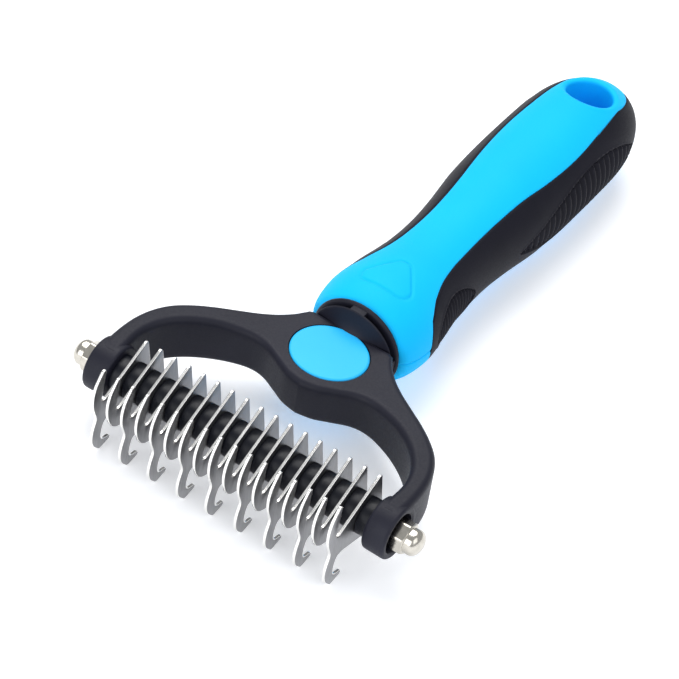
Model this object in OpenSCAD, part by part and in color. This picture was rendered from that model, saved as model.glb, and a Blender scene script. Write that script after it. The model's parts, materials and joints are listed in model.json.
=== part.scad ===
// Dematting comb: a row of claw blades on a steel bar, held by a two-armed yoke on a moulded handle.
// Origin: centre of the hanging hole. +X runs along the bar, +Y along the handle away from the bar, +Z up.
// The modules are drawn about the middle of the bar's axis, and the assembly moves them all to the hole.

/* [Blades] */
// Number of blades on the bar, an odd number so that both outer blades carry a hook
blade_count = 17; // [9:2:17]
// Distance from one blade to the next
blade_pitch = 3.95; // [3.6:0.05:3.95]
// Sheet thickness of a blade
blade_t = 0.7; // [0.5:0.1:1.1]

/* [Bar] */
// Overall length over the tips of both cap nuts
bar_length = 94; // [93:0.5:97]
// Outer diameter of the spacer rings
spacer_d = 9.2; // [8:0.1:10]
// Diameter of the steel shaft
shaft_d = 4; // [3.6:0.1:4.2]

/* [Cap nuts] */
// Width across the flats of the hexagon
nut_af = 7; // [6.6:0.1:7.6]
// Height of the hexagon
nut_hex_h = 5.6; // [5:0.1:6]
// Height of the whole nut
nut_h = 9; // [8:0.1:10]

/* [Yoke] */
// Thickness of the hub; the arms swell to the bosses' thickness at their ends
yoke_t = 10.8; // [10:0.2:11.6]
// Radius of the round boss at the end of each arm
boss_r = 6.6; // [6:0.1:7.5]
// Half width of the badge along the bar
badge_a = 9.5; // [8:0.1:10]
// Half width of the badge along the handle
badge_b = 8.6; // [7:0.1:9]

/* [Handle] */
// Where the handle begins, measured from the bar
handle_y0 = 44.3; // [44:0.1:46]
// Where the handle ends, measured from the bar
handle_y1 = 159.7; // [156:0.1:165]
// Diameter of the hanging hole
hang_d = 12; // [9:0.2:12.6]

/* [Hidden] */
fit = 0.05;
full = $preview ? 48 : 96;
half_t = yoke_t / 2;
stack_half = (blade_count - 1) / 2 * blade_pitch;
spacer_len = blade_pitch - blade_t;

// Along the bar, from the middle outwards
arm_inner_x = 35;
boss_outer_x = 40.9;
nut_base_x = bar_length / 2 - nut_h;
washer_t = 0.8;
washer_r = 4.2;
pocket_r = 4.9;
pocket_x = nut_base_x - washer_t;
shaft_half = bar_length / 2 - 3.5;
shaft_flat = shaft_d * 0.8;
dome_r = 3.15;

// Neck between the hub and the handle
badge_y = 31.8;
badge_depth = 1.2;
neck_r = 11;
barrel_r = 8.3;
flange_r = 11.6;
neck_y0 = 41.4;
groove_y0 = 41.7;
groove_y1 = 43.3;
barrel_y1 = 47;
tang_y1 = 82;
tang_w = 12;
tang_h = 6.4;
pin_r = 1.5;
pin_y = 72;
core_h = 10.4;

hang_y = 145.4;
rim_flat = 10.6;
rim_r = 1.8;
rim_rise = 3.2;

plate_rows = 28;
plate_sides = 44;

blade_ids = [for (i = [1 : blade_count]) str("blade_", i < 10 ? "0" : "", i)];
spacer_ids = [for (i = [1 : blade_count - 1]) str("spacer_", i < 10 ? "0" : "", i)];

// ---- curves ----

// A point on the Catmull-Rom curve through b and c, at t from 0 to 1
function spline(a, b, c, d, t) =
    0.5 * (2 * b + (c - a) * t + (2 * a - 5 * b + 4 * c - d) * t * t + (3 * b - a - 3 * c + d) * t * t * t);

// A smooth open curve through the given points, with n steps between neighbours
function smooth(p, n) = concat(
    [for (i = [0 : len(p) - 2], k = [0 : n - 1])
        spline(p[max(i - 1, 0)], p[i], p[i + 1], p[min(i + 2, len(p) - 1)], k / n)],
    [p[len(p) - 1]]
);

// Points on an arc about c, from angle a0 to a1
function arc(c, r, a0, a1, n) = [for (k = [0 : n]) c + r * [cos(a0 + (a1 - a0) * k / n), sin(a0 + (a1 - a0) * k / n)]];

function flip_x(p) = [for (i = [len(p) - 1 : -1 : 0]) [-p[i][0], p[i][1]]];

// Value at y of the table t of [y, value] rows, on a smooth curve
function row_of(t, y, i = 0) = (i >= len(t) - 2 || y < t[i + 1][0]) ? i : row_of(t, y, i + 1);
function at(t, y) =
    let (i = row_of(t, y), u = (y - t[i][0]) / (t[i + 1][0] - t[i][0]))
    spline(t[max(i - 1, 0)][1], t[i][1], t[i + 1][1], t[min(i + 2, len(t) - 1)][1], u);

// ---- blades: the outline lies in the plane across the bar, as [y, z] ----

tip_r = 0.8;
body_top = arc([4.2, 8.0], tip_r, 115, 0, 4);
body_back = arc([7.2, -7.6], 1.2, 0, -105, 4);
notch = arc([-10.9, 3.0], 1.1, -75, -180, 5);
claw_tip = arc([-11.9, 11.0], 0.75, 20, 150, 5);
claw_front = smooth([[-12.9, 10.9], [-14.6, 8.4], [-15.3, 5.4], [-15.0, 2.2], [-13.9, -0.8]], 3);
hook_front = smooth([[-13.5, -1.8], [-13.4, -3.0], [-14.2, -5.6], [-14.4, -8.2], [-13.6, -10.8], [-12.0, -12.7]], 3);
hook_tip = concat(
    arc([-10.6, -11.9], 1.6, -125, -70, 3),
    arc([-7.9, -12.2], 0.75, -80, 75, 5)
);
hook_back = smooth([[-9.1, -11.2], [-10.4, -10.6], [-11.0, -9.2], [-10.8, -7.0], [-10.0, -5.2], [-8.2, -4.9]], 3);
lobe = smooth([[-12.9, -2.4], [-11.2, -3.7], [-8.8, -4.5], [-5.2, -5.3]], 3);

hook_outline = concat(body_top, body_back, [for (i = [len(hook_back) - 1 : -1 : 0]) hook_back[i]],
    [for (i = [len(hook_tip) - 1 : -1 : 0]) hook_tip[i]], [for (i = [len(hook_front) - 1 : -1 : 0]) hook_front[i]],
    [for (i = [len(claw_front) - 1 : -1 : 0]) claw_front[i]], [for (i = [len(claw_tip) - 1 : -1 : 0]) claw_tip[i]],
    [for (i = [len(notch) - 1 : -1 : 0]) notch[i]]);
lobe_outline = concat(body_top, body_back, [for (i = [len(lobe) - 1 : -1 : 0]) lobe[i]],
    [for (i = [len(claw_front) - 1 : -1 : 0]) claw_front[i]], [for (i = [len(claw_tip) - 1 : -1 : 0]) claw_tip[i]],
    [for (i = [len(notch) - 1 : -1 : 0]) notch[i]]);

// Puts an outline drawn as [y, z] into its plane, and gives it the thickness t along X, about x
module across_bar(x, t) {
    translate([x - t / 2, 0, 0])
        rotate([90, 0, 90])
            linear_extrude(t)
                children();
}

// The shaft's section with two flats, which keeps the blades in line
module keyed(r, flat) {
    intersection() {
        circle(r, $fn = full);
        square([2 * r + 1, flat], center = true);
    }
}

module blade(i) {
    color([0.72, 0.72, 0.73])
        across_bar((i - (blade_count + 1) / 2) * blade_pitch, blade_t)
            difference() {
                polygon(i % 2 == 1 ? hook_outline : lobe_outline);
                keyed(shaft_d / 2 + fit, shaft_flat + 2 * fit);
            }
}

module ring(x0, x1, r) {
    color([0.05, 0.05, 0.06])
        translate([x0, 0, 0])
            rotate([0, 90, 0])
                difference() {
                    cylinder(h = x1 - x0, r = r, $fn = full);
                    translate([0, 0, -1]) cylinder(h = x1 - x0 + 2, r = shaft_d / 2 + fit, $fn = full);
                }
}

module spacer(i) {
    x0 = (i - (blade_count + 1) / 2) * blade_pitch + blade_t / 2;
    ring(x0, x0 + spacer_len, spacer_d / 2);
}

module end_spacer_right() ring(stack_half + blade_t / 2, arm_inner_x, spacer_d / 2);
module end_spacer_left() mirror([1, 0, 0]) end_spacer_right();

module comb_shaft() {
    keyed_half = stack_half + blade_t / 2 + 0.6;
    color([0.7, 0.7, 0.71]) {
        translate([-keyed_half, 0, 0])
            rotate([90, 0, 90])
                linear_extrude(2 * keyed_half)
                    keyed(shaft_d / 2, shaft_flat);
        for (side = [0, 180])
            rotate([0, 0, side])
                translate([keyed_half, 0, 0])
                    rotate([0, 90, 0])
                        cylinder(h = shaft_half - keyed_half, r = shaft_d / 2, $fn = full);
    }
}

module washer_right() {
    color([0.75, 0.75, 0.76])
        translate([pocket_x, 0, 0])
            rotate([0, 90, 0])
                difference() {
                    cylinder(h = washer_t, r = washer_r, $fn = full);
                    translate([0, 0, -1]) cylinder(h = washer_t + 2, r = shaft_d / 2 + fit, $fn = full);
                }
}
module washer_left() mirror([1, 0, 0]) washer_right();

// A hexagon with a chamfered outer end under a round dome, and a blind threaded hole
module cap_nut_right() {
    collar_h = 0.9;
    dome_h = nut_h - nut_hex_h - collar_h;
    chamfer = 0.45;
    color([0.83, 0.82, 0.8])
        translate([nut_base_x, 0, 0])
            rotate([0, 90, 0])
                difference() {
                    union() {
                        intersection() {
                            cylinder(h = nut_hex_h, r = nut_af / 2 / cos(30), $fn = 6);
                            rotate_extrude($fn = full)
                                polygon([[0, 0], [nut_af / 2 + chamfer, 0], [nut_af / 2 + chamfer, nut_hex_h - chamfer],
                                    [nut_af / 2 - 0.1, nut_hex_h], [0, nut_hex_h]]);
                        }
                        rotate_extrude($fn = full)
                            polygon(concat(
                                [[0, nut_hex_h - 0.5], [dome_r, nut_hex_h - 0.5]],
                                [for (a = [0 : 9 : 81]) [dome_r * cos(a), nut_hex_h + collar_h + dome_h * sin(a)]],
                                [[0, nut_h]]));
                    }
                    translate([0, 0, -1]) cylinder(h = nut_h - 1.6, r = shaft_d / 2 + fit, $fn = full);
                }
}
module cap_nut_left() mirror([1, 0, 0]) cap_nut_right();

// ---- yoke ----

arm_outer = smooth([[40.4, -1], [40.7, 5], [40.2, 11], [38.7, 16], [36.2, 20.2], [32.6, 23.6], [28.4, 26.6],
    [23.8, 29.5], [19.6, 32.3], [16.2, 35.0], [13.4, 38.0], [11.4, 41.0]], 3);
arm_inner = smooth([[35.2, -1], [35.7, 7.0], [34.8, 11.7], [32.5, 15.8], [29.0, 19.2], [24.5, 22.0], [19.5, 23.9],
    [15.5, 24.6], [11.8, 24.0], [7.6, 22.0], [4.0, 20.3], [0, 19.5]], 3);
// Half thickness along the bar, as [x, z]
arm_swell = smooth([[0, half_t], [10, half_t], [18, half_t + 0.35], [26, half_t + 0.9], [32, boss_r - 0.1],
    [45, boss_r - 0.1]], 2);
yoke_plan = concat(
    [for (i = [len(arm_inner) - 1 : -1 : 1]) arm_inner[i]],
    [[arm_inner_x, -1]], arm_outer, flip_x(arm_outer), [[-arm_inner_x, -1]],
    [for (i = [1 : len(arm_inner) - 2]) [-arm_inner[i][0], arm_inner[i][1]]]
);
badge_outline = [for (k = [0 : 71]) [badge_a * cos(5 * k), badge_b * sin(5 * k)]];

module along_handle(y0, y1, r) {
    translate([0, y0, 0])
        rotate([-90, 0, 0])
            cylinder(h = y1 - y0, r = r, $fn = full);
}

// Four arc windows in the neck groove leave a web at the top, the bottom and each side
module neck_windows() {
    top_web = 1.9;
    side_web = 1.5;
    difference() {
        along_handle(groove_y0, groove_y1, flange_r + 2);
        along_handle(groove_y0 - 1, groove_y1 + 1, barrel_r);
        translate([-top_web, groove_y0 - 1, -20]) cube([2 * top_web, 5, 40]);
        translate([-20, groove_y0 - 1, -side_web]) cube([40, 5, 2 * side_web]);
    }
}

// The plan at full thickness, kept within the swelling front outline
module yoke_frame() {
    intersection() {
        translate([0, 0, -boss_r]) linear_extrude(2 * boss_r) polygon(yoke_plan);
        translate([0, 50, 0])
            rotate([90, 0, 0])
                linear_extrude(60)
                    polygon(concat([for (p = arm_swell) if (p[0] > 0) p],
                        [for (i = [len(arm_swell) - 1 : -1 : 0]) if (arm_swell[i][0] > 0) [arm_swell[i][0], -arm_swell[i][1]]],
                        [for (p = arm_swell) if (p[0] > 0) [-p[0], -p[1]]],
                        [for (i = [len(arm_swell) - 1 : -1 : 0]) if (arm_swell[i][0] > 0) [-arm_swell[i][0], arm_swell[i][1]]]));
    }
}

module yoke() {
    ramp_y0 = 40.5;
    color([0.12, 0.12, 0.14])
        difference() {
            union() {
                yoke_frame();
                for (side = [0, 1])
                    mirror([side, 0, 0])
                        translate([arm_inner_x, 0, 0])
                            rotate([0, 90, 0])
                                cylinder(h = boss_outer_x - arm_inner_x, r = boss_r, $fn = full);
                hull() {
                    translate([-11.4, ramp_y0, -half_t]) cube([22.8, 0.1, yoke_t]);
                    translate([0, neck_y0, 0]) rotate([-90, 0, 0]) cylinder(h = 0.1, r = neck_r, $fn = 40);
                }
                along_handle(neck_y0, groove_y0, neck_r);
                along_handle(groove_y0, groove_y1, neck_r);
                along_handle(groove_y1, handle_y0, flange_r);
                along_handle(handle_y0, barrel_y1, barrel_r);
                translate([-tang_w / 2, barrel_y1, -tang_h / 2]) cube([tang_w, tang_y1 - barrel_y1, tang_h]);
            }
            neck_windows();
            for (side = [-1, 1])
                translate([0, badge_y, side * half_t - badge_depth])
                    linear_extrude(2 * badge_depth) polygon(badge_outline);
            translate([-50, 0, 0]) rotate([0, 90, 0]) cylinder(h = 100, r = shaft_d / 2 + fit, $fn = full);
            for (side = [0, 1])
                mirror([side, 0, 0])
                    translate([pocket_x, 0, 0])
                        rotate([0, 90, 0])
                            cylinder(h = 20, r = pocket_r, $fn = full);
            translate([-20, pin_y, 0]) rotate([0, 90, 0]) cylinder(h = 40, r = pin_r, $fn = full);
        }
}

module badge(side) {
    inset = 0.15;
    outline = [for (p = badge_outline) p * (1 - inset / badge_b)];
    color([0.18, 0.82, 1])
        translate([0, badge_y, side > 0 ? half_t - badge_depth : -half_t])
            linear_extrude(badge_depth)
                polygon(outline);
}

// ---- handle ----

// Half width and half height of the handle along its length
width_table = [[30, 13.0], [44, 13.6], [53, 14.8], [60, 14.1], [70, 12.6], [80, 12.0], [90, 12.5], [104, 14.2],
    [125, 14.9], [142, 14.3], [162, 12.6]];
height_table = [[30, 11.2], [44, 11.4], [53, 12.6], [60, 12.4], [70, 11.4], [80, 11.1], [90, 11.6], [104, 12.8],
    [125, 13.6], [142, 13.2], [162, 11.0]];
// Where the blue shells end and the soft grip begins, seen from above
split_table = [[48, 15.5], [53.2, 14.7], [55.4, 12.8], [60, 10.4], [66, 8.5], [73, 7.5], [85, 7.2], [98, 7.9],
    [112, 9.5], [124, 10.0], [138, 9.1], [150, 7.8]];

cap_power = 2.6;
rear_cap = 22;
front_cap = 9;
function bulge(t) = pow(max(0, 1 - pow(max(0, t), cap_power)), 1 / cap_power);
function cap(y) = bulge((y - handle_y1 + rear_cap) / rear_cap) * bulge((handle_y0 + 5 - y) / front_cap);

// Stations crowd towards the rear end, where the outline turns in
stations = [for (k = [0 : plate_rows]) let (t = k / plate_rows)
    handle_y0 + (handle_y1 - handle_y0) * (t < 0.8 ? t * 1.05 : 0.84 + 0.16 * sin((t - 0.8) * 450))];

module handle_form() {
    rings = [for (y = stations) let (f = max(cap(y), 0.004))
        [for (k = [0 : plate_sides - 1]) let (a = 360 * (k + 0.5) / plate_sides)
            [at(width_table, y) * f * cos(a), y, at(height_table, y) * f * sin(a)]]];
    n = plate_sides;
    polyhedron(
        points = [for (r = rings, p = r) p],
        faces = concat(
            [[for (k = [0 : n - 1]) k]],
            [for (i = [0 : plate_rows - 1], k = [0 : n - 1])
                [i * n + k, (i + 1) * n + k, (i + 1) * n + (k + 1) % n, i * n + (k + 1) % n]],
            [[for (k = [n - 1 : -1 : 0]) plate_rows * n + k]]
        )
    );
}

// The area that the blue shells cover, seen from above: it ends in a half ellipse behind the hanging hole
module shell_plan() {
    end_y = handle_y1 - 1.4;
    side = concat(
        [[20, handle_y0 - 1], [20, 48]],
        [for (y = [53.2 : 2 : 145]) [at(split_table, y), y]],
        [for (a = [0 : 9 : 90]) [at(split_table, 146) * cos(a), 146 + (end_y - 146) * sin(a)]]
    );
    polygon(concat(side, flip_x(side)));
}

module core_plan() {
    side = smooth([[8.2, barrel_y1], [8.0, 58], [6.6, 72], [6.2, 86], [8.0, 104], [8.6, 121], [5.6, 131.5], [0, 134.5]], 3);
    polygon(concat(side, flip_x(side)));
}

module core_block() translate([0, 0, -core_h / 2]) linear_extrude(core_h) core_plan();

module handle_core() {
    color([0.2, 0.2, 0.22])
        difference() {
            core_block();
            translate([-tang_w / 2, barrel_y1 - 1, -tang_h / 2]) cube([tang_w, tang_y1 - barrel_y1 + 1, tang_h]);
            translate([-20, pin_y, 0]) rotate([0, 90, 0]) cylinder(h = 40, r = pin_r, $fn = full);
        }
}

module tang_pin() {
    pin_half = 6.3;
    color([0.7, 0.7, 0.71])
        translate([-pin_half, pin_y, 0])
            rotate([0, 90, 0])
                cylinder(h = 2 * pin_half, r = pin_r, $fn = full);
}

// The hanging hole is a true cylinder between two flared rims
module hang_hole() {
    translate([0, hang_y, -20]) cylinder(h = 40, r = hang_d / 2, $fn = full);
    for (side = [0, 1])
        mirror([0, 0, side])
            translate([0, hang_y, rim_flat])
                rotate_extrude($fn = full)
                    polygon([[0, 0], [hang_d / 2, 0], [hang_d / 2 + rim_r, rim_rise], [0, rim_rise]]);
}

module shell(side) {
    color([0.1, 0.82, 1])
        difference() {
            intersection() {
                handle_form();
                translate([0, 0, side > 0 ? 0 : -20]) linear_extrude(20) shell_plan();
            }
            core_block();
            along_handle(handle_y0 - 1, barrel_y1, barrel_r);
            hang_hole();
        }
}

module handle_top_shell() shell(1);
module handle_bottom_shell() shell(-1);

module side_grip() {
    color([0.14, 0.14, 0.16])
        difference() {
            handle_form();
            translate([0, 0, -20]) linear_extrude(40) shell_plan();
            core_block();
        }
}

// ---- the assembly ----

translate([0, -hang_y, 0]) {
    yoke();
    badge(1);  // badge_top
    badge(-1);  // badge_bottom
    comb_shaft();
    for (i = [1 : blade_count]) blade(i);
    for (i = [1 : blade_count - 1]) spacer(i);
    end_spacer_left();
    end_spacer_right();
    washer_left();
    washer_right();
    cap_nut_left();
    cap_nut_right();
    handle_core();
    tang_pin();
    handle_top_shell();
    handle_bottom_shell();
    side_grip();
}
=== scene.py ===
"""Looks of the dematting comb: a bar of claw blades in a black yoke on a blue and black moulded handle.

Sizes in this file are millimetres: +X along the comb bar, +Y along the handle, +Z up, counted from the middle
of the bar. A mesh is moved to the part's own origin, the hanging hole's centre, and scaled to metres when it
is made.
"""

import json
import logging
import math
from dataclasses import dataclass, field
from enum import Enum

import bmesh
import bpy
import numpy as np
from mathutils import Matrix, Vector


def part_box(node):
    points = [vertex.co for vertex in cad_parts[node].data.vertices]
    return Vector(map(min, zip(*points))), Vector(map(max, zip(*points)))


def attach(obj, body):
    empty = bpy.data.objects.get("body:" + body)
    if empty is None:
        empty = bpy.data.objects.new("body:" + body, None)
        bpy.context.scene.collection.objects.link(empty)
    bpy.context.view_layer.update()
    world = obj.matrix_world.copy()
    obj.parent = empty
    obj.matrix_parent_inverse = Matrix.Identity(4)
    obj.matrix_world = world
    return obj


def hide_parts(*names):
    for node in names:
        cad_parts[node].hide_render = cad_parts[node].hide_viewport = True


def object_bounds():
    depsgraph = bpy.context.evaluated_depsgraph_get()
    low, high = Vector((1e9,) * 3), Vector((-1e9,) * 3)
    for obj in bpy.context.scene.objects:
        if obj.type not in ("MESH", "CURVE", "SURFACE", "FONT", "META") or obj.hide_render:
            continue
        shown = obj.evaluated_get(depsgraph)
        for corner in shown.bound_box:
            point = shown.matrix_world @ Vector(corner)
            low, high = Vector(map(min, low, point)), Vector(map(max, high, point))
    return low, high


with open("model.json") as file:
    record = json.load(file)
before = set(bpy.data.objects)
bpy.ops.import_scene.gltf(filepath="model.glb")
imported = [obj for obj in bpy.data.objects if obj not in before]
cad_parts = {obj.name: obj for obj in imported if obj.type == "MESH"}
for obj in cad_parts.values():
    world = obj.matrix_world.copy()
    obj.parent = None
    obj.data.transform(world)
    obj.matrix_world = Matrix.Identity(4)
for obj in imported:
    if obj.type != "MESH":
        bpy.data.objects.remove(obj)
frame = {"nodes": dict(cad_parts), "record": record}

logging.basicConfig(level=logging.INFO, format="%(message)s")
log = logging.getLogger("dematting_comb")

Array = np.ndarray
Material = bpy.types.Material
Piece = bpy.types.Object
Socket = bpy.types.NodeSocket
MM = 0.001
BAR_AT = np.array([0.0, -145.4, 0.0])
CAD_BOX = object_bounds()


class Side(Enum):
    """Which end of the bar a piece is at, as the sign of its X."""

    LEFT = -1
    RIGHT = 1


class Face(Enum):
    """Which face of the comb a piece is on, as the sign of its Z."""

    TOP = 1
    BOTTOM = -1


class BladeKind(Enum):
    """Whether a blade's lower edge carries the long hook or ends in a rounded lobe."""

    HOOK = "hook"
    LOBE = "lobe"


# ---- curves ----


def spline_point(a: Array, b: Array, c: Array, d: Array, t: Array) -> Array:
    """Catmull-Rom curve: the cubic through b and c whose slopes are half of c - a and half of d - b."""
    cubic = (3 * b - a - 3 * c + d) * t**3
    return 0.5 * (2 * b + (c - a) * t + (2 * a - 5 * b + 4 * c - d) * t**2 + cubic)


def smooth(points: list, steps: int) -> Array:
    """Smooth open curve through the points, as one Catmull-Rom piece between each two neighbours.

    Args:
        points: The points that the curve passes through.
        steps: How many steps each piece has.

    Returns:
        The points of the curve, one row each.
    """
    p = np.asarray(points, float)
    padded = np.concatenate([p[:1], p, p[-1:]])
    t = (np.arange(steps) / steps)[None, :, None]
    a, b, c, d = (padded[k : k + len(p) - 1][:, None, :] for k in range(4))
    pieces = spline_point(a, b, c, d, t).reshape(-1, p.shape[1])
    return np.concatenate([pieces, p[-1:]])


def arc(centre: tuple, radius: float, start: float, end: float, steps: int) -> Array:
    """Points at equal angles, in degrees, on a circle of the radius about the centre."""
    a = np.radians(np.linspace(start, end, steps + 1))
    return np.asarray(centre) + radius * np.stack([np.cos(a), np.sin(a)], axis=-1)


def table_value(table: tuple, y: Array) -> Array:
    """Value at y of a table of (y, value) rows, on the Catmull-Rom curve through them.

    Args:
        table: Rows of position and value, in rising order.
        y: Where to read it.

    Returns:
        One value for each entry of y.
    """
    rows = np.asarray(table, float)
    last = len(rows) - 1
    i = np.clip(np.searchsorted(rows[:, 0], y, side="right") - 1, 0, last - 1)
    t = (y - rows[i, 0]) / (rows[i + 1, 0] - rows[i, 0])
    before, after = np.maximum(i - 1, 0), np.minimum(i + 2, last)
    return spline_point(rows[before, 1], rows[i, 1], rows[i + 1, 1], rows[after, 1], t)


def even_steps(curve: Array, count: int) -> Array:
    """Points at equal distances along a polyline, both ends included."""
    length = np.concatenate([[0], np.cumsum(np.linalg.norm(np.diff(curve, axis=0), axis=1))])
    at = np.linspace(0, length[-1], count)
    return np.stack([np.interp(at, length, curve[:, k]) for k in range(curve.shape[1])], axis=-1)


def ease(x: Array) -> Array:
    """Smooth step: 0 up to 0, 1 from 1 on, and 3x2 - 2x3 between."""
    x = np.clip(x, 0, 1)
    return x * x * (3 - 2 * x)


# ---- meshes ----


@dataclass
class Patch:
    """A grid of points, rows by columns by 3, that may close on itself either way."""

    points: Array
    wrap_rows: bool = False
    wrap_cols: bool = False

    def quads(self, first: int) -> Array:
        """Corner indices of the grid's cells, counted from the index of its first point."""
        rows, cols = self.points.shape[:2]
        index = first + np.arange(rows * cols).reshape(rows, cols)
        if self.wrap_rows:
            index = np.concatenate([index, index[:1]])
        if self.wrap_cols:
            index = np.concatenate([index, index[:, :1]], axis=1)
        corners = [index[:-1, :-1], index[1:, :-1], index[1:, 1:], index[:-1, 1:]]
        return np.stack(corners, axis=-1).reshape(-1, 4)


@dataclass
class Solid:
    """Patches and flat caps that are gathered into one mesh."""

    name: str
    patches: list = field(default_factory=list)
    caps: list = field(default_factory=list)

    def add(self, points: Array, wrap_rows: bool = False, wrap_cols: bool = False) -> int:
        """Adds a grid of points and returns the index of its first point."""
        first = sum(p.points.shape[0] * p.points.shape[1] for p in self.patches)
        self.patches.append(Patch(points, wrap_rows, wrap_cols))
        return first

    def cap(self, indices: Array) -> None:
        """Closes a loop of points with one flat face."""
        self.caps.append([int(i) for i in indices])

    def build(self, weld: float = 0.0, sharp: float = 35.0, outward: bool = True) -> Piece:
        """Makes the mesh object.

        Args:
            weld: Distance in millimetres within which points are merged, or 0 for none.
            sharp: Angle in degrees past which an edge is shaded sharp.
            outward: Whether face directions are worked out again, for a closed form.

        Returns:
            The new object, with its place in its mesh.
        """
        points, quads, first = [], [], 0
        for patch in self.patches:
            points.append(patch.points.reshape(-1, 3))
            quads.append(patch.quads(first))
            first += len(points[-1])
        mesh = bpy.data.meshes.new(self.name)
        faces = np.concatenate(quads).tolist() + self.caps
        mesh.from_pydata(((np.concatenate(points) + BAR_AT) * MM).tolist(), [], faces)
        if weld or outward:
            work = bmesh.new()
            work.from_mesh(mesh)
            if weld:
                bmesh.ops.remove_doubles(work, verts=work.verts, dist=weld * MM)
                bmesh.ops.dissolve_degenerate(work, edges=work.edges, dist=1e-8)
            if outward:
                bmesh.ops.recalc_face_normals(work, faces=work.faces)
            work.to_mesh(mesh)
            work.free()
        mesh.validate()
        mesh.shade_smooth()
        mesh.set_sharp_from_angle(angle=math.radians(sharp))
        piece = bpy.data.objects.new(self.name, mesh)
        bpy.context.scene.collection.objects.link(piece)
        return piece


def turned(name: str, profile: Array, axis: str, segments: int, closed: bool = True) -> Solid:
    """Surface of revolution: the profile's (along, radius) points carried round an axis.

    Args:
        name: Name of the piece.
        profile: Rows of position along the axis and radius.
        axis: "x" or "y", the axis it turns about.
        segments: How many steps the full turn has.
        closed: Whether the profile is a closed loop.

    Returns:
        The solid, with no caps.
    """
    a = np.linspace(0, 2 * np.pi, segments, endpoint=False)[:, None]
    along = np.broadcast_to(profile[:, 0], (segments, len(profile)))
    out, up = profile[:, 1] * np.cos(a), profile[:, 1] * np.sin(a)
    order = (along, out, up) if axis == "x" else (out, along, up)
    solid = Solid(name)
    solid.add(np.stack(order, axis=-1), wrap_rows=True, wrap_cols=closed)
    return solid


def round_corners(corners: list, radius: float, steps: int = 5) -> Array:
    """Closed outline with each corner cut by a quadratic curve that starts and ends at the radius from it.

    Args:
        corners: The outline's corners, in order.
        radius: How far from its corner each curve begins, at most 0.45 of a side.
        steps: Steps in each curve.

    Returns:
        The points of the closed outline.
    """
    p = np.asarray(corners, float)
    back, ahead = np.roll(p, 1, axis=0) - p, np.roll(p, -1, axis=0) - p
    reach_back = np.minimum(radius, 0.45 * np.linalg.norm(back, axis=1))[:, None]
    reach_ahead = np.minimum(radius, 0.45 * np.linalg.norm(ahead, axis=1))[:, None]
    start = p + back / np.linalg.norm(back, axis=1)[:, None] * reach_back
    end = p + ahead / np.linalg.norm(ahead, axis=1)[:, None] * reach_ahead
    t = np.linspace(0, 1, steps + 1)[None, :, None]
    curve = (1 - t) ** 2 * start[:, None] + 2 * t * (1 - t) * p[:, None] + t**2 * end[:, None]
    return curve.reshape(-1, 2)


# ---- finishes ----


@dataclass
class Shader:
    """A node material under construction, on Object coordinates."""

    material: Material
    surface: bpy.types.Node
    place: Socket

    @classmethod
    def start(cls, name: str) -> "Shader":
        """Makes a material with one Principled surface and its coordinates."""
        material = bpy.data.materials.new(name)
        material.use_nodes = True
        nodes = material.node_tree.nodes
        surface = nodes["Principled BSDF"]
        return cls(material, surface, nodes.new("ShaderNodeTexCoord").outputs["Object"])

    def node(self, kind: str, **values: object) -> bpy.types.Node:
        """Adds a node and sets its properties."""
        made = self.material.node_tree.nodes.new(kind)
        for key, value in values.items():
            setattr(made, key, value)
        return made

    def link(self, out: Socket, into: Socket) -> None:
        """Joins two sockets."""
        self.material.node_tree.links.new(out, into)

    def noise(self, scale: float, detail: float = 3.0, stretch: tuple = (1, 1, 1)) -> Socket:
        """Noise of so many cycles a metre, stretched by a factor along each axis."""
        mapping = self.node("ShaderNodeMapping")
        mapping.inputs["Scale"].default_value = stretch
        self.link(self.place, mapping.inputs["Vector"])
        made = self.node("ShaderNodeTexNoise")
        made.inputs["Scale"].default_value = scale
        made.inputs["Detail"].default_value = detail
        self.link(mapping.outputs["Vector"], made.inputs["Vector"])
        return made.outputs["Fac"]

    def ramp(self, source: Socket, low: float, high: float, a: float, b: float) -> Socket:
        """Maps low to high of a value onto a to b."""
        made = self.node("ShaderNodeMapRange")
        for key, value in zip(("From Min", "From Max", "To Min", "To Max"), (low, high, a, b)):
            made.inputs[key].default_value = value
        self.link(source, made.inputs["Value"])
        return made.outputs["Result"]

    def colours(self, source: Socket, a: tuple, b: tuple) -> Socket:
        """Blends from colour a to colour b."""
        made = self.node("ShaderNodeMix", data_type="RGBA")
        made.inputs["A"].default_value = (*a, 1)
        made.inputs["B"].default_value = (*b, 1)
        self.link(source, made.inputs["Factor"])
        return made.outputs["Result"]

    def bump(self, source: Socket, strength: float, height: float) -> None:
        """Adds relief of the given height, in metres, on top of any that is there."""
        made = self.node("ShaderNodeBump")
        made.inputs["Strength"].default_value = strength
        made.inputs["Distance"].default_value = height
        self.link(source, made.inputs["Height"])
        normal = self.surface.inputs["Normal"]
        if normal.is_linked:
            self.link(normal.links[0].from_socket, made.inputs["Normal"])
        self.link(made.outputs["Normal"], normal)


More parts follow.
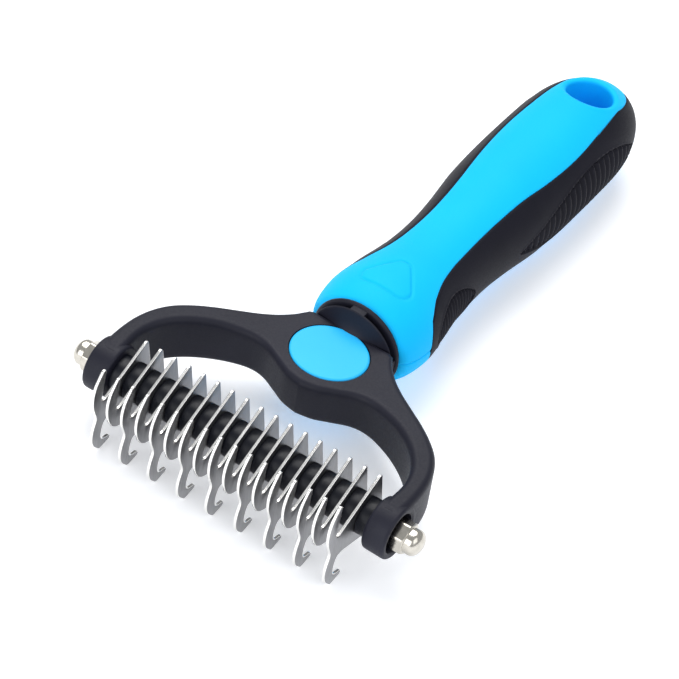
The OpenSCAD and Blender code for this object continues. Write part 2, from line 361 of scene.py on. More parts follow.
@dataclass(frozen=True)
class Plastic:
    """Moulded plastic or elastomer: a colour that drifts a little, and a fine moulded grain."""

    name: str
    colour: tuple
    shade: tuple
    rough: float
    grain: float = 2600.0
    relief: float = 0.00002
    specular: float = 0.5

    def make(self) -> Material:
        """Builds the material."""
        s = Shader.start(self.name)
        drift = s.ramp(s.noise(55.0), 0.35, 0.65, 0.0, 1.0)
        colour = s.colours(drift, self.shade, self.colour)
        s.link(colour, s.surface.inputs["Base Color"])
        speck = s.noise(self.grain, 2.0)
        s.link(s.ramp(speck, 0.3, 0.7, self.rough - 0.05, self.rough + 0.07), s.surface.inputs["Roughness"])
        s.bump(speck, 0.5, self.relief)
        s.bump(s.noise(260.0, 1.0), 0.25, self.relief * 2)
        s.surface.inputs["Specular IOR Level"].default_value = self.specular
        return s.material


@dataclass(frozen=True)
class Metal:
    """Bare or plated metal with a directional grain and faint smudges."""

    name: str
    colour: tuple
    shade: tuple
    rough: float
    stretch: tuple = (1, 1, 1)
    grain: float = 1800.0
    relief: float = 0.000006

    def make(self) -> Material:
        """Builds the material."""
        s = Shader.start(self.name)
        lines = s.noise(self.grain, 3.0, self.stretch)
        smudge = s.noise(120.0, 2.0)
        s.link(s.colours(s.ramp(lines, 0.3, 0.7, 0, 1), self.shade, self.colour), s.surface.inputs["Base Color"])
        s.link(s.ramp(smudge, 0.3, 0.7, self.rough - 0.04, self.rough + 0.06), s.surface.inputs["Roughness"])
        s.bump(lines, 0.4, self.relief)
        s.surface.inputs["Metallic"].default_value = 1.0
        return s.material


def made(finish: "Plastic | Metal") -> Material:
    """A dataclass field that holds the finish's material, built together with the other fields."""
    return field(default_factory=finish.make)


@dataclass
class Finishes:
    """Every finish of the comb, made once."""

    yoke: Material = made(Plastic("black_abs", (0.013, 0.0135, 0.024), (0.010, 0.0105, 0.019), 0.5, 2200,
                                  0.00003, specular=0.22))
    blue: Material = made(Plastic("soft_touch_blue", (0.003, 0.50, 0.96), (0.002, 0.48, 0.95), 0.6, 3000,
                                  0.00001, specular=0.12))
    badge: Material = made(Plastic("badge_blue", (0.02, 0.49, 0.95), (0.016, 0.47, 0.94), 0.42, 2800, 0.000008,
                                   specular=0.25))
    grip: Material = made(Plastic("grip_elastomer", (0.008, 0.008, 0.014), (0.006, 0.006, 0.011), 0.55, 3000,
                                  0.00002, specular=0.12))
    ring: Material = made(Plastic("glossy_ring", (0.004, 0.005, 0.010), (0.003, 0.004, 0.008), 0.36, 1500,
                                  0.000006, specular=0.25))
    blade_face: Material = made(Metal("satin_blade", (0.36, 0.36, 0.37), (0.29, 0.29, 0.30), 0.36,
                                      (1, 1, 0.08), 2600))
    blade_edge: Material = made(Metal("polished_edge", (0.92, 0.91, 0.88), (0.85, 0.84, 0.81), 0.16))
    nickel: Material = made(Metal("bright_nickel", (0.58, 0.55, 0.49), (0.48, 0.455, 0.40), 0.2, grain=700))
    rod: Material = made(Metal("drawn_rod", (0.6, 0.6, 0.61), (0.5, 0.5, 0.51), 0.28, (0.05, 1, 1)))
    core: Material = made(Plastic("core_plastic", (0.03, 0.03, 0.035), (0.022, 0.022, 0.026), 0.6))


@dataclass
class Workshop:
    """Places finished pieces on the frame's bodies, and keeps the finishes."""

    finishes: Finishes = field(default_factory=Finishes)

    def body_of(self, node: str) -> str:
        """Name of the body that holds a CAD node."""
        bodies = (frame["record"].get("behaviour") or {}).get("bodies") or {"root": list(frame["nodes"])}
        return next(body for body, members in bodies.items() if node in members)

    def place(self, piece: Piece, nodes: list, slot: str, *materials: Material) -> None:
        """Dresses a piece and lets it stand for its CAD nodes.

        Args:
            piece: The finished object.
            nodes: CAD nodes that it stands for, all on one body.
            slot: The record's material slot; not used.
            materials: Materials in the order of the mesh's slots, or none if they are there already.
        """
        for material in materials:
            piece.data.materials.append(material)
        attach(piece, self.body_of(nodes[0]))
        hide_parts(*nodes)
        log.info("piece %s: %d faces, stands for %s", piece.name, len(piece.data.polygons), ", ".join(nodes))

    def dress(self, node: str, material: Material) -> None:
        """Gives a CAD node that stays visible its material."""
        target = frame["nodes"][node]
        target.data.materials.clear()
        target.data.materials.append(material)
        log.info("node %s: dressed as %s", node, material.name)


# ---- the comb bar ----


@dataclass
class BladeRow:
    """The thin claw plates on the bar. A plate lies across the bar, so its outline is in Y and Z."""

    pitch: float = 3.95
    thickness: float = 0.7
    edge_round: float = 0.17
    reach: float = 15.3
    count: int = 17

    def outline(self, kind: BladeKind) -> Array:
        """Closed outline of a plate: arcs at its corners and tips, and smooth curves along claw and hook.

        Args:
            kind: Whether the lower edge has the hook.

        Returns:
            Points of (y, z), each once.
        """
        steps = 6
        body_top = arc((4.2, 8.0), 0.8, 115, 0, 8)
        body_back = arc((7.2, -7.6), 1.2, 0, -105, 8)
        notch = arc((-10.9, 3.0), 1.1, -75, -180, 8)
        claw_tip = arc((-11.9, 11.0), 0.75, 20, 150, 8)
        claw_front = smooth([(-12.9, 10.9), (-14.6, 8.4), (-15.3, 5.4), (-15.0, 2.2), (-13.9, -0.8)], steps)
        upper = [claw_front[::-1], claw_tip[::-1], notch[::-1]]
        if kind is BladeKind.LOBE:
            lobe = smooth([(-12.9, -2.4), (-11.2, -3.7), (-8.8, -4.5), (-5.2, -5.3)], steps)
            parts = [body_top, body_back, lobe[::-1], *upper]
        else:
            front = [(-13.5, -1.8), (-13.4, -3.0), (-14.2, -5.6), (-14.4, -8.2), (-13.6, -10.8), (-12.0, -12.7)]
            back = [(-9.1, -11.2), (-10.4, -10.6), (-11.0, -9.2), (-10.8, -7.0), (-10.0, -5.2), (-8.2, -4.9)]
            tip = np.concatenate([arc((-10.6, -11.9), 1.6, -125, -70, 5), arc((-7.9, -12.2), 0.75, -80, 75, 7)])
            parts = [body_top, body_back, smooth(back, steps)[::-1], tip[::-1], smooth(front, steps)[::-1], *upper]
        loop = np.concatenate(parts)
        loop[:, 0] = np.maximum(loop[:, 0], -self.reach)
        return even_steps(np.concatenate([loop, loop[:1]]), 260)[:-1]

    def plate(self, name: str, kind: BladeKind, x: float) -> Piece:
        """One plate: the outline carried through the sheet's thickness, with its edge rounded by a quarter circle.

        Args:
            name: Name of the piece.
            kind: Whether the lower edge has the hook.
            x: Place of the sheet's middle along the bar.

        Returns:
            The plate, as one closed mesh.
        """
        loop = self.outline(kind)
        along = np.roll(loop, -1, axis=0) - np.roll(loop, 1, axis=0)
        inward = np.stack([along[:, 1], -along[:, 0]], axis=-1) / np.linalg.norm(along, axis=1)[:, None]
        a = np.radians([0, 30, 60, 90])
        depth = np.concatenate([1 - np.sin(a), 1 - np.sin(a[::-1])]) * self.edge_round
        half = self.thickness / 2
        rise = (1 - np.cos(a)) * self.edge_round
        across = np.concatenate([-half + rise, half - rise[::-1]])
        rings = loop[None] + inward[None] * depth[:, None, None]
        points = np.concatenate([np.broadcast_to(across[:, None, None] + x, (8, len(loop), 1)), rings], axis=-1)
        solid = Solid(name)
        solid.add(points, wrap_cols=True)
        n = len(loop)
        solid.cap(np.arange(n))
        solid.cap(7 * n + np.arange(n)[::-1])
        return solid.build(sharp=50)

    def build(self, shop: Workshop) -> None:
        """Makes all plates and dresses faces and edges apart."""
        for i in range(1, self.count + 1):
            kind = BladeKind.HOOK if i % 2 else BladeKind.LOBE
            x = (i - (self.count + 1) / 2) * self.pitch
            piece = self.plate(f"plate_{i:02d}", kind, x)
            shop.place(piece, [f"blade_{i:02d}"], "blade_steel", shop.finishes.blade_face, shop.finishes.blade_edge)
            sides = np.array([len(p.vertices) <= 4 for p in piece.data.polygons], np.int32)
            piece.data.polygons.foreach_set("material_index", sides)


@dataclass
class SpacerStack:
    """The black rings between the plates, each a turned ring with rounded rims."""

    bore: float = 2.05
    rim: float = 0.28

    def ring(self, name: str, node: str) -> Piece:
        """A ring as long and as wide as its CAD node: a rounded rectangle turned about the bar."""
        low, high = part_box(node)
        x0, x1, outer = low.x / MM, high.x / MM, high.z / MM
        corners = round_corners([(x0, self.bore), (x0, outer), (x1, outer), (x1, self.bore)], self.rim)
        return turned(name, corners, "x", 72).build(sharp=60)

    def build(self, shop: Workshop) -> None:
        """Makes a ring for each spacer of the frame."""
        for node in sorted(n for n in frame["nodes"] if "spacer" in n):
            shop.place(self.ring(f"ring_{node}", node), [node], "black_ring", shop.finishes.ring)


@dataclass
class CapNut:
    """A domed hexagon nut: hexagon cut by a chamfer cone, a short collar and a rounded dome."""

    side: Side
    across_flats: float = 7.0
    base: float = 38.0
    hexagon: float = 5.6
    height: float = 9.0
    dome: float = 3.15
    collar: float = 1.25
    edge: float = 0.12
    bore_r: float = 2.05

    def surface(self) -> Array:
        """Radius as a function of turn and place along the bar.

        The hexagon's radius is half the width across flats over the cosine of the angle from the flat's
        middle. A cone at each end takes its corners off, and past it the profile is a collar and a dome,
        a quarter of an ellipse.

        Returns:
            Points on a grid, turn by place.
        """
        turn = np.radians(np.arange(0, 360, 1.25))[:, None]
        flat = (turn + np.pi / 6) % (np.pi / 3) - np.pi / 6
        hexagon = self.across_flats / 2 / np.cos(flat)
        corner = self.across_flats / 2 / math.cos(math.pi / 6)
        hexagon = hexagon - self.edge * np.exp(-((np.abs(flat) - np.pi / 6) / 0.05) ** 2)
        s = np.concatenate([np.linspace(0, 0.6, 8), np.linspace(0.75, 4.8, 10), np.linspace(4.85, 5.6, 14)])
        cone = np.minimum(corner - 0.45 + s * 1.2, corner + 0.1 - np.maximum(s - 4.9, 0) ** 1.5 * 1.15)
        body = np.minimum(hexagon, cone[None])
        a = np.radians(np.linspace(0, 90, 26))
        rise = self.height - self.hexagon - self.collar
        tail_s = np.concatenate([[self.hexagon + 0.02, self.hexagon + 0.12, self.hexagon + self.collar * 0.6],
                                 self.hexagon + self.collar + rise * np.sin(a)])
        tail_r = np.concatenate([[self.dome + 0.12, self.dome, self.dome], self.dome * np.cos(a)])
        tail = np.broadcast_to(tail_r, (len(turn), len(tail_r)))
        head = np.full((len(turn), 1), self.bore_r)
        radius = np.concatenate([head, body, tail], axis=1)
        place = self.base + np.concatenate([[0], s, tail_s])
        x = np.broadcast_to(place * self.side.value, radius.shape)
        return np.stack([x, radius * np.cos(turn), radius * np.sin(turn)], axis=-1)

    def build(self, shop: Workshop) -> None:
        """Makes the nut, with its dome's pole closed and its bore closed by a flat face."""
        name = self.side.name.lower()
        solid = Solid(f"nut_{name}")
        solid.add(self.surface(), wrap_rows=True)
        rows, cols = solid.patches[0].points.shape[:2]
        solid.cap(np.arange(rows) * cols)
        piece = solid.build(weld=0.002, sharp=28)
        shop.place(piece, [f"cap_nut_{name}"], "nickel_plate", shop.finishes.nickel)
        shop.dress(f"washer_{name}", shop.finishes.nickel)


# ---- the yoke ----


@dataclass
class Yoke:
    """The black head frame: a rounded ribbon for arms and hub, two turned bosses and a slotted collar."""

    half: float = 5.4
    end_half: float = 6.5
    edge: float = 1.7
    badge: tuple = (9.5, 8.6)
    badge_y: float = 31.8
    pocket_x: float = 37.2
    pocket_r: float = 4.9
    bore_r: float = 2.05
    boss_r: tuple = (6.5, 6.6)
    boss_x: tuple = (34.9, 40.9)
    collar_r: float = 11.0
    web_half: tuple = (1.5, 1.9)
    window_y: tuple = (41.82, 43.28)
    window_depth: float = 2.7

    def edges(self, count: int) -> tuple:
        """Inner and outer edge of the right half, seen from above, matched by distance along each.

        Args:
            count: Points on each edge.

        Returns:
            The two edges, from the boss to the middle.
        """
        inner = smooth([(35.2, -1), (35.7, 7.0), (34.8, 11.7), (32.5, 15.8), (29.0, 19.2), (24.5, 22.0), (19.5, 23.9),
                        (15.5, 24.6), (11.8, 24.0), (7.6, 22.0), (4.0, 20.3), (0, 19.5)], 16)
        flank = smooth([(40.4, -1), (40.7, 5), (40.2, 11), (38.7, 16), (36.2, 20.2), (32.6, 23.6), (28.4, 26.6),
                        (23.8, 29.5), (19.6, 32.3), (16.2, 35.0), (13.4, 38.0), (11.4, 41.0)], 16)
        outer = np.concatenate([flank, [(10.4, 41.5), (0, 41.5)]])
        return even_steps(inner, count), even_steps(outer, count)

    def half_at(self, x: Array) -> Array:
        """Half thickness at x: the hub's up to x = 10, then rising smoothly to the arm end's at x = 32."""
        rows = ((0, self.half), (10, self.half), (18, self.half + 0.35), (26, self.half + 0.9), (32, self.end_half),
                (60, self.end_half))
        return table_value(rows, np.abs(x))

    def section(self) -> tuple:
        """The rounded rectangle that is swept, as shares and multiples of its sizes.

        Returns:
            Share of the way from inner to outer edge, corner radii to add along it, share of the half
            thickness less a radius, and radii to add to that. One value each for every point of the loop.
        """
        flat = np.linspace(0, 1, 18)
        turn = np.radians(np.linspace(0, 90, 8))[1:-1]
        wall = np.linspace(1, -1, 8)
        one = np.ones_like(turn)
        share = [flat, one, wall * 0 + 1, one, flat[::-1], one * 0, wall * 0, one * 0]
        shift = [1 - 2 * flat, np.sin(turn) - 1, wall * 0, np.cos(turn) - 1, 2 * flat - 1, 1 - np.sin(turn), wall * 0,
                 1 - np.cos(turn)]
        level = [flat * 0 + 1, one, wall, -one, flat * 0 - 1, -one, -wall, one]
        lift = [flat * 0 + 1, np.cos(turn), wall * 0, -np.sin(turn), flat * 0 - 1, -np.cos(turn), wall * 0,
                np.sin(turn)]
        return tuple(np.concatenate(part) for part in (share, shift, level, lift))

    def ribbon(self) -> Piece:
        """The arms and hub: at each place along the yoke, the section spans from inner to outer edge.

        Returns:
            The ribbon, closed at both ends.
        """
        inner, outer = self.edges(220)
        mirrored = np.array([-1, 1])
        inner = np.concatenate([inner, (inner[:-1] * mirrored)[::-1]])
        outer = np.concatenate([outer, (outer[:-1] * mirrored)[::-1]])
        span = np.linalg.norm(outer - inner, axis=1)[:, None]
        share, shift, level, lift = self.section()
        place = share * span + shift * self.edge
        xy = inner[:, None] + ((outer - inner) / span)[:, None] * place[..., None]
        z = level * (self.half_at(xy[..., 0]) - self.edge) + lift * self.edge
        solid = Solid("yoke_frame")
        solid.add(np.concatenate([xy, z[..., None]], axis=-1), wrap_cols=True)
        n, last = len(share), len(span) - 1
        solid.cap(np.arange(n)[::-1])
        solid.cap(last * n + np.arange(n))
        return solid.build(weld=0.001, sharp=40)

    def pocket(self, side: Side) -> Piece:
        """A cylinder about the bar that clears the nut's pocket in the end of an arm."""
        profile = np.array([(self.pocket_x, 0.01), (self.pocket_x, self.pocket_r), (60, self.pocket_r), (60, 0.01)])
        profile[:, 0] *= side.value
        solid = turned(f"pocket_cutter_{side.name.lower()}", profile, "x", 72)
        return solid.build()

    def recess(self, face: Face) -> Piece:
        """An elliptic prism a little wider than the badge, which is cut from the hub."""
        a = np.linspace(0, 2 * np.pi, 160, endpoint=False)
        gap, depth = 0.22, 1.1
        x, y = (self.badge[0] + gap) * np.cos(a), self.badge_y + (self.badge[1] + gap) * np.sin(a)
        floor, top = (self.half - depth) * face.value, (self.half + 2) * face.value
        rings = [np.stack([x, y, np.full_like(x, z)], axis=-1) for z in (floor, top)]
        solid = Solid("recess_cutter")
        solid.add(np.stack(rings), wrap_cols=True)
        solid.cap(np.arange(160))
        solid.cap(160 + np.arange(160))
        return solid.build()

    def boss(self, side: Side) -> Piece:
        """The round end of an arm, turned about the bar, with the pocket that the nut sits in."""
        s = side.value
        (inner_x, outer_x), rim, bore = self.boss_x, self.pocket_r, self.bore_r
        corners = [(inner_x, bore), (inner_x, self.boss_r[0]), (outer_x, self.boss_r[1]), (outer_x, rim),
                   (self.pocket_x, rim), (self.pocket_x, bore)]
        loop = round_corners(corners, 0.9, 6)
        loop[:, 0] *= s
        return turned(f"yoke_boss_{side.name.lower()}", loop, "x", 96).build(sharp=50)

    def collar(self) -> Piece:
        """The neck: a flare, a groove and a flange, turned about the handle's axis.

        Between its four webs the groove's radius drops to the barrel's, which leaves the windows.

        Returns:
            The collar.
        """
        flare = smooth([(38.9, 4.0), (39.7, 5.5), (40.4, 6.7), (40.9, 8.1), (41.3, 9.7), (41.55, 10.7),
                        (41.75, 11.0)], 6)
        groove_y = (41.8, 41.83, 41.86, 41.9, 42.1, 42.5, 42.9, 43.2, 43.24, 43.27, 43.3)
        groove = np.array([(y, self.collar_r) for y in groove_y])
        flange = np.array([(43.35, 11.15), (43.5, 11.45), (43.7, 11.6), (44.0, 11.6), (44.2, 11.5), (44.35, 11.2),
                           (44.4, 10.5), (44.4, 3.5)])
        profile = np.concatenate([flare, groove, flange])
        turn = np.radians(np.arange(0, 360, 0.75))
        quarter = np.abs((turn + np.pi / 2) % np.pi - np.pi / 2)
        side_web, top_web = (math.asin(half / self.collar_r) for half in self.web_half)
        web = np.where(quarter < np.pi / 4, side_web, top_web)
        near_web = np.minimum(quarter, np.pi / 2 - quarter)
        open_turn = ease((near_web - web) / 0.012)
        y = profile[:, 0]
        open_y = ease((y - self.window_y[0]) / 0.05) * ease((self.window_y[1] - y) / 0.05)
        radius = profile[:, 1][None] - self.window_depth * open_turn[:, None] * open_y[None]
        points = [radius * np.cos(turn)[:, None], np.broadcast_to(y, radius.shape), radius * np.sin(turn)[:, None]]
        solid = Solid("yoke_collar")
        solid.add(np.stack(points, axis=-1), wrap_rows=True)
        rows, cols = radius.shape
        solid.cap(np.arange(rows) * cols)
        solid.cap(np.arange(rows) * cols + cols - 1)
        return solid.build(sharp=40)

    def build(self, shop: Workshop) -> None:
        """Makes the yoke's surfaces, cuts the recesses and sets the badges in them."""
        body = self.ribbon()
        for cutter in [self.recess(face) for face in Face] + [self.pocket(side) for side in Side]:
            cut(body, cutter)
        for piece in (body, self.collar(), self.boss(Side.LEFT), self.boss(Side.RIGHT)):
            shop.place(piece, ["yoke"], "black_abs", shop.finishes.yoke)
        for face in Face:
            Badge(face).build(shop)


def cut(body: Piece, cutter: Piece) -> None:
    """Takes the cutter's volume out of the body, applies the result and removes the cutter.

    Args:
        body: The closed mesh that is cut.
        cutter: The closed mesh that is taken away.
    """
    modifier = body.modifiers.new("cut", "BOOLEAN")
    modifier.operation = "DIFFERENCE"
    modifier.solver = "EXACT"
    modifier.object = cutter
    graph = bpy.context.evaluated_depsgraph_get()
    result = bpy.data.meshes.new_from_object(body.evaluated_get(graph))
    body.modifiers.clear()
    body.data = result
    bpy.data.objects.remove(cutter)
    result.shade_smooth()
    result.set_sharp_from_angle(angle=math.radians(40))


@dataclass
class Badge:
    """The oval blue inlay: a faintly domed ellipse with a rounded rim."""

    face: Face
    radii: tuple = (9.5, 8.6)
    centre_y: float = 31.8
    seat: float = 5.4
    proud: float = 0.22
    rim: float = 0.55
    dome: float = 0.12

    def build(self, shop: Workshop) -> None:
        """Makes the badge: rings of the ellipse shrink towards the middle while they rise to the dome."""
        s = self.face.value
        a = np.linspace(0, 2 * np.pi, 144, endpoint=False)[:, None]
        q = np.radians(np.linspace(0, 90, 9))
        rim, rings = self.rim, 14
        inset = np.concatenate([[0.0], rim * (1 - np.cos(q)), np.linspace(0.9, 8.55, rings)])
        height = np.concatenate([[-1.05], self.proud - rim + rim * np.sin(q), np.full(rings, self.proud)])
        height[-rings:] += self.dome * (1 - (1 - np.linspace(0, 1, rings)) ** 2)
        shrink = 1 - inset / self.radii[1]
        x = self.radii[0] * np.cos(a) * shrink
        y = self.centre_y + self.radii[1] * np.sin(a) * shrink
        z = np.broadcast_to((self.seat + height) * s, x.shape)
        solid = Solid(f"badge_{self.face.name.lower()}_inlay")
        solid.add(np.stack([x, y, z], axis=-1), wrap_rows=True)
        rows, cols = x.shape
        solid.cap(np.arange(rows) * cols)
        solid.cap(np.arange(rows) * cols + cols - 1)
        piece = solid.build(sharp=50)
        shop.place(piece, [f"badge_{self.face.name.lower()}"], "blue_badge", shop.finishes.badge)


# ---- the handle ----


@dataclass(frozen=True)
class HandleForm:
    """Outer form of the handle: elliptic sections whose half width and height follow smooth tables.

    Both ends close as a superellipse of power 2.6. The chord factor keeps the round form inside the flat
    facets of the CAD solid.
    """

    y0: float = 44.3
    y1: float = 159.7
    width: tuple = ((30, 13.0), (44, 13.6), (53, 14.8), (60, 14.1), (70, 12.6), (80, 12.0), (90, 12.5), (104, 14.2),
                    (125, 14.9), (142, 14.3), (162, 12.6))
    tall: tuple = ((30, 11.2), (44, 11.4), (53, 12.6), (60, 12.4), (70, 11.4), (80, 11.1), (90, 11.6), (104, 12.8),
                   (125, 13.6), (142, 13.2), (162, 11.0))
    split: tuple = ((48, 15.5), (53.2, 14.7), (55.4, 12.8), (60, 10.4), (66, 8.5), (73, 7.5), (85, 7.2), (98, 7.9),
                    (112, 9.5), (124, 10.0), (138, 9.1), (150, 7.8))
    power: float = 2.6
    chord: float = 0.997
    rear_cap: float = 22.0
    front_cap: float = 9.0
    shell_turn: float = 146.0
    shell_end: float = 158.3

    def bulge(self, t: Array) -> Array:
        """One minus t to the power, all to one over the power, for t from 0 to 1."""
        return np.maximum(0, 1 - np.maximum(0, t) ** self.power) ** (1 / self.power)

    def cap(self, y: Array) -> Array:
        """How much the section is drawn in at y by the two ends."""
        rear = self.bulge((y - self.y1 + self.rear_cap) / self.rear_cap)
        front = self.bulge((self.y0 + 5 - y) / self.front_cap)
        lip = 1 - 0.075 * (1 - np.sqrt(np.clip(1 - (1 - np.clip((y - self.y0) / 1.3, 0, 1)) ** 2, 0, 1)))
        return rear * front * lip

    def half_width(self, y: Array) -> Array:
        """Half width at y."""
        return table_value(self.width, y) * self.cap(y) * self.chord

    def half_height(self, y: Array) -> Array:
        """Half height at y."""
        return table_value(self.tall, y) * self.cap(y) * self.chord

    def height(self, x: Array, y: Array) -> Array:
        """Height of the top surface over the point (x, y), as an ellipse across the handle."""
        wide = np.maximum(self.half_width(y), 1e-6)
        return self.half_height(y) * np.sqrt(np.clip(1 - (x / wide) ** 2, 0, 1))

    def split_angle(self, y: Array) -> Array:
        """Angle on the section at which the blue shell ends and the grip begins."""
        return np.arccos(np.clip(table_value(self.split, y) / self.half_width(y), -1, 1))


@dataclass
class Shell:
    """A blue half of the handle, with the hanging hole's rounded rim and the outlined thumb pad."""

    face: Face
    form: HandleForm = field(default_factory=HandleForm)
    hole_y: float = 145.4
    hole_r: float = 6.0
    rim: float = 1.5
    join_y: float = 134.0
    lip: float = 0.24
    lip_width: float = 0.55
    groove: float = 0.38
    groove_width: float = 0.5
    wall: float = 1.3
    pad_corners: tuple = ((-4.04, 53.9), (4.04, 53.9), (0.0, 59.72))
    pad_radius: float = 2.6

    def pad_distance(self, x: Array, y: Array) -> Array:
        """Distance from the outline of the thumb pad, a triangle with rounded corners that points to the rear.

        Args:
            x: Across the handle.
            y: Along it.

        Returns:
            Distance in millimetres, negative inside.
        """
        corners = np.array(self.pad_corners)
        p = np.stack([x, y], axis=-1)
        best = np.full(x.shape, np.inf)
        inside = np.ones(x.shape, bool)
        for start, end in zip(corners, np.roll(corners, -1, axis=0)):
            edge, away = end - start, p - start
            t = np.clip((away @ edge) / (edge @ edge), 0, 1)
            best = np.minimum(best, np.linalg.norm(away - t[..., None] * edge, axis=-1))
            inside &= edge[0] * away[..., 1] - edge[1] * away[..., 0] > 0
        return np.where(inside, -best, best) - self.pad_radius

    def front(self) -> Array:
        """The shell from its front face to the join: ellipse arcs between the split angles, row by row.

        Returns:
            Grid of points, rows along the handle.
        """
        f = self.form
        y = np.concatenate([f.y0 + 1.3 * (1 - np.cos(np.linspace(0, np.pi / 2, 9))), np.linspace(45.9, 50.0, 10),
                            np.linspace(50.2, 64.0, 70), np.linspace(65.0, self.join_y, 54)])
        b = f.split_angle(y)[:, None]
        v = np.linspace(0, 1, 150)[None]
        v = v + 0.35 * np.sin(2 * np.pi * v) * -0.2
        phi = b + (np.pi - 2 * b) * v
        wide, tall = f.half_width(y)[:, None], f.half_height(y)[:, None]
        x, z = wide * np.cos(phi), tall * np.sin(phi)
        yy = np.broadcast_to(y[:, None], x.shape)
        arc_length = np.sqrt((wide * np.sin(phi)) ** 2 + (tall * np.cos(phi)) ** 2)
        near = np.minimum(phi - b, np.pi - b - phi) * arc_length
        sink = self.lip * np.maximum(0, 1 - near / self.lip_width) ** 2
        sink = sink + self.groove * np.exp(-((self.pad_distance(x, yy) / self.groove_width) ** 2) * 2.2)
        nx, nz = np.cos(phi) / wide, np.sin(phi) / tall
        size = np.hypot(nx, nz)
        x, z = x - sink * nx / size, z - sink * nz / size
        face = np.stack([x * 0.5, yy, z * 0.5], axis=-1)[:1]
        return np.concatenate([face, np.stack([x, yy, z], axis=-1)])

    def rear(self, row: Array) -> Array:
        """The shell round the hanging hole: rays run from the hole's wall over its rim to the shell's edge.

        Args:
            row: The last row of the front part, which the rays' ends have to meet.

        Returns:
            Grid of points, one row a ray.
        """
        f = self.form
        side_y = np.linspace(self.join_y, f.shell_turn, 20)[1:]
        half = table_value(f.split, np.array(f.shell_turn))
        a = np.linspace(np.pi, 0, 90)[1:-1]
        turn = np.stack([half * np.cos(a), f.shell_turn + (f.shell_end - f.shell_turn) * np.sin(a)], axis=-1)
        left = np.stack([-table_value(f.split, side_y), side_y], axis=-1)
        right = (left * np.array([-1, 1]))[::-1]
        edge = np.concatenate([row[:, :2], left, turn, right])
        at_row = np.arange(len(edge)) < len(row)
        centre = np.array([0.0, self.hole_y])
        way = edge - centre
        reach = np.linalg.norm(way, axis=1)
        way = way / reach[:, None]
        q = np.radians(np.linspace(0, 90, 11))
        near = self.rim * (1 - np.cos(q))
        t = (np.linspace(0, 1, 15)[1:]) ** 1.3
        far = self.rim + (reach[:, None] - self.hole_r - self.rim) * t[None]
        step = np.concatenate([np.broadcast_to(near, (len(edge), len(near))), far], axis=1)
        xy = centre + way[:, None] * (self.hole_r + step)[..., None]
        z = f.height(xy[..., 0], xy[..., 1])
        drop = self.rim - np.sqrt(np.clip(self.rim**2 - np.clip(self.rim - step, 0, None) ** 2, 0, None))
        left_over = reach[:, None] - self.hole_r - step
        sink = np.where(at_row[:, None], 0.0, self.lip * np.maximum(0, 1 - left_over / self.lip_width) ** 2)
        bead = 0.12 * np.exp(-(((step - self.rim) / 0.7) ** 2))
        z = z - drop - sink + bead
        z[at_row, -1] = row[:, 2]
        points = np.concatenate([xy, z[..., None]], axis=-1)
        down = np.linspace(0, 1, 8)[:-1][None, :, None]
        wall = points[:, :1] * np.array([1, 1, 0]) + down * points[:, :1] * np.array([0, 0, 1])
        return np.concatenate([wall, points], axis=1)

    def build(self, shop: Workshop) -> None:
        """Joins front and rear, gives the shell its wall and turns it over for the bottom half."""
        front = self.front()
        rear = self.rear(front[-1])
        solid = Solid(f"shell_{self.face.name.lower()}")
        flip = np.array([1, 1, self.face.value])
        solid.add(front * flip)
        solid.add(rear * flip, wrap_rows=True)
        piece = solid.build(weld=0.004, sharp=45, outward=False)
        face_outward(piece, self.face)
        wall = piece.modifiers.new("wall", "SOLIDIFY")
        wall.thickness = self.wall * MM
        wall.offset = -1.0
        name = self.face.name.lower()
        shop.place(piece, [f"handle_{name}_shell"], "blue_shell", shop.finishes.blue)


def face_outward(piece: Piece, face: Face) -> None:
    """Gives an open sheet one direction all over, up for the top half and down for the bottom one."""
    work = bmesh.new()
    work.from_mesh(piece.data)
    bmesh.ops.recalc_face_normals(work, faces=work.faces)
    lean = sum(f.normal.z * f.calc_area() for f in work.faces)
    if lean * face.value < 0:
        bmesh.ops.reverse_faces(work, faces=work.faces)
    work.to_mesh(piece.data)
    work.free()


@dataclass(frozen=True)
class RibPad:
    """A recessed lens on the grip that is filled with upright ribs."""

    start: float
    end: float
    tall: float
    pitch: float
    lean: float
    depth: float = 0.95
    rib: float = 0.85

    def sink(self, y: Array, z: Array) -> Array:
        """How far the grip's surface is set in at (y, z).

        The lens's half height is a power of a sine along it, and the ribs are a squared cosine along Y.

        Args:
            y: Along the handle.
            z: Up its side.

        Returns:
            Depth in millimetres, with the rim a little proud.
        """
        t = np.clip((y - self.start) / (self.end - self.start), 0, 1)
        half = self.tall * np.sin(np.pi * t**self.lean) ** 0.58
        inside = half - np.abs(z)
        mask = ease(inside / 0.4) * (t > 0) * (t < 1)
        wave = np.cos(np.pi * (y - self.start) / self.pitch) ** 2
        crest = ease(inside / 0.9) * self.rib * wave**0.7
        lip = 0.1 * np.exp(-(((inside + 0.15) / 0.3) ** 2)) * (t > 0.01) * (t < 0.99)
        return self.depth * mask - crest * mask - lip


